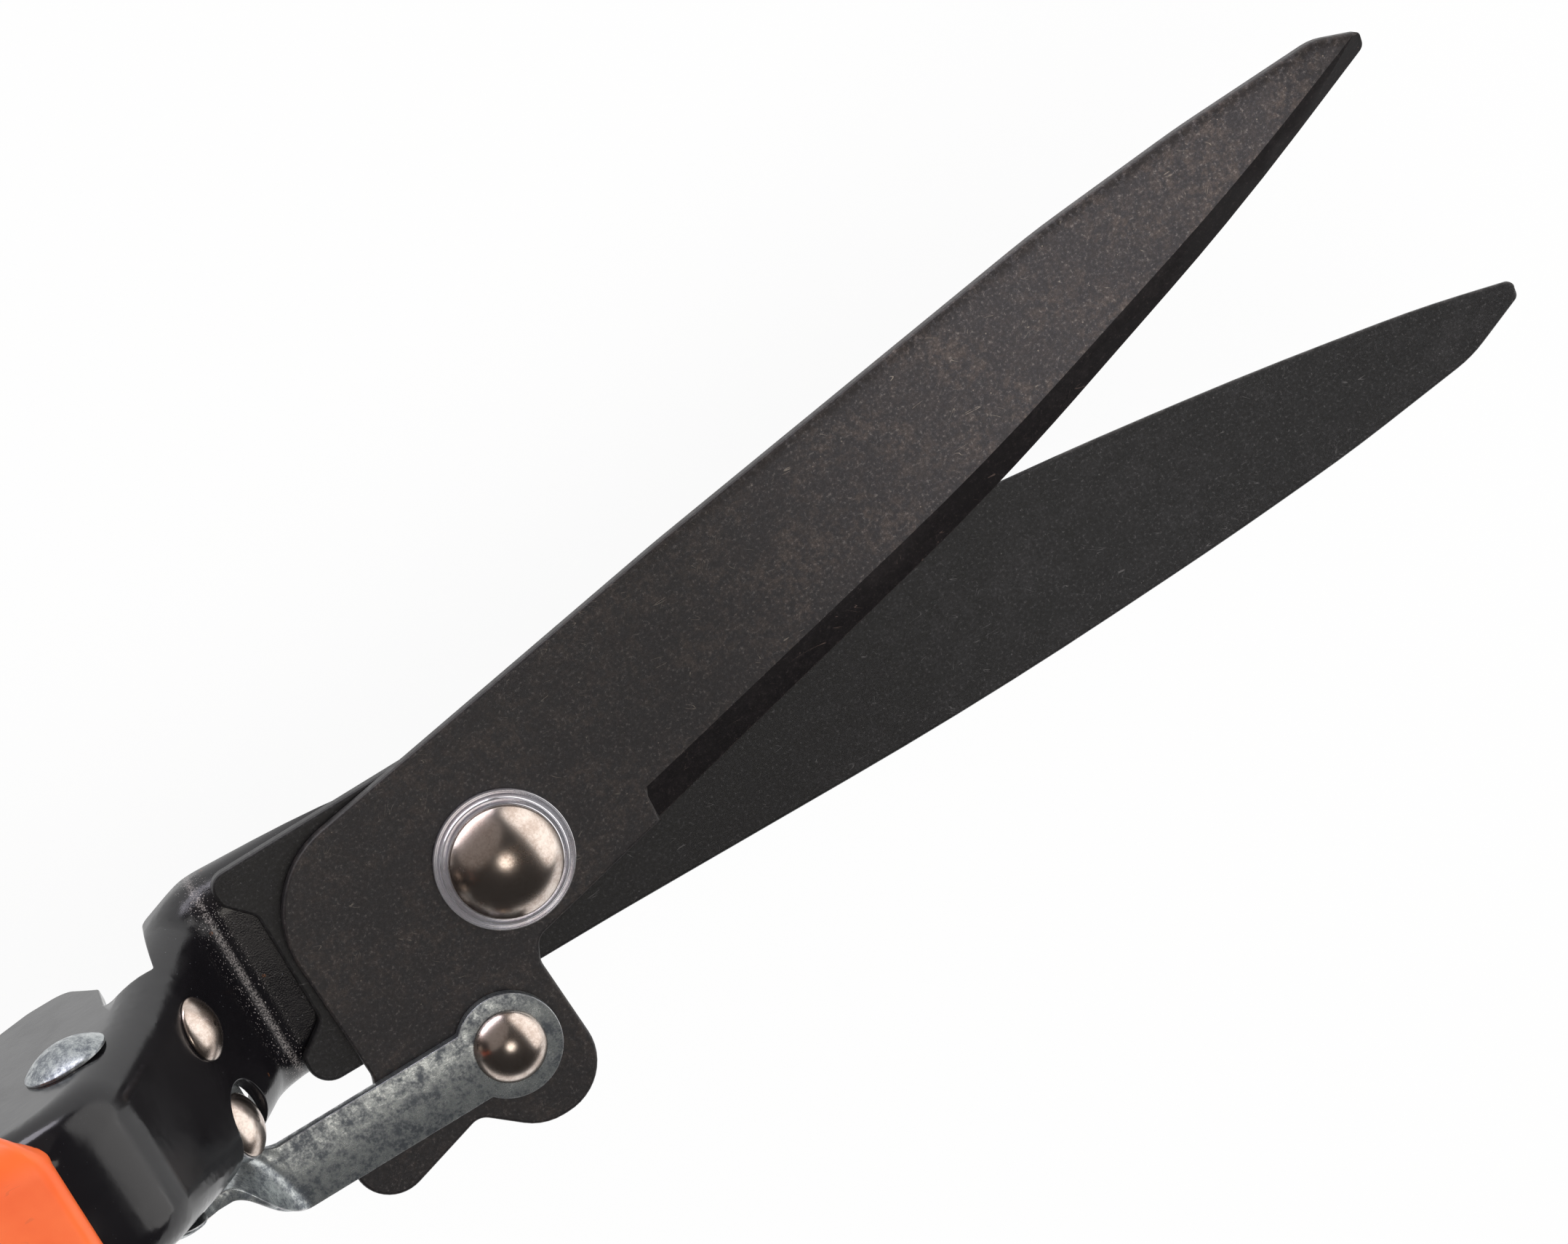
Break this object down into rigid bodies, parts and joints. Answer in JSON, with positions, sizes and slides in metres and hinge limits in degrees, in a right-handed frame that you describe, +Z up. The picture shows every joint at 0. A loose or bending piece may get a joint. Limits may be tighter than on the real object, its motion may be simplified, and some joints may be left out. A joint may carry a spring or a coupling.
{
  "type": "grass shears",
  "caption": "One-hand grass shears: a fixed and a moving blade, a link from the moving blade to a squeezed lever, two orange grips, an opening spring and a closing catch.",
  "frame": {"origin": "centre of the hang hole on the upper face of the handle's web", "axes": "+X forward along the fixed blade, +Y to the user's left, +Z up, out of the hang hole"},
  "size_m": [0.3971, 0.0782, 0.0943],
  "materials": {
    "blade_steel": "black oxide, brushed, worn at the edges",
    "handle_paint": "gloss black paint",
    "grip_orange": "smooth satin orange plastic",
    "nickel": "polished nickel plate",
    "zinc": "bright zinc plate, mottled",
    "spring_steel": "drawn spring wire",
    "seat_plastic": "black moulded plastic"
  },
  "bodies": {
    "handle": {"main_handle": "handle_paint", "stiffener": "zinc", "upper_grip": "grip_orange", "fixed_blade": "blade_steel", "blade_rivets": "zinc", "pivot_bolt": "nickel", "cup_washer": "nickel", "spring_washer": "zinc", "pivot_nut": "zinc", "web_rivet": "nickel", "lever_rivet": "zinc", "opening_spring": "spring_steel", "upper_spring_seat": "seat_plastic"},
    "lever": {"lower_lever": "handle_paint", "lower_grip": "grip_orange", "lever_bush": "zinc", "lower_spring_seat": "seat_plastic"},
    "cutter": {"moving_blade": "blade_steel", "link_rivet": "nickel"},
    "link_arm": {"link": "zinc", "link_pin": "nickel"},
    "catch": {"catch_bail": "zinc"}
  },
  "joints": [
    {"name": "lever_hinge", "type": "hinge", "parent": "handle", "child": "lever", "pos_m": [0.1309, 0, -0.02], "axis": [0, 1, 0], "range_deg": [0, 21.5], "stiffness_Nm_per_rad": 2, "springref_deg": -28.65, "deforming": ["opening_spring"]},
    {"name": "blade_hinge", "type": "hinge", "parent": "handle", "child": "cutter", "pos_m": [0.1945, -0.0015, -0.046], "axis": [0, 0, 1], "range_deg": [-16, 0]},
    {"name": "link_hinge", "type": "hinge", "parent": "cutter", "child": "link_arm", "pos_m": [0.182, -0.0247, -0.0423], "axis": [0, 0, 1], "range_deg": [0, 22]},
    {"name": "catch_hinge", "type": "hinge", "parent": "handle", "child": "catch", "pos_m": [0, 0, -0.011], "axis": [0, -1, 0], "range_deg": [0, 90]}
  ],
  "couplings": [
    {"joint": "blade_hinge", "follows": "lever_hinge", "ratio": -0.744},
    {"joint": "link_hinge", "follows": "lever_hinge", "ratio": 0.9767}
  ]
}
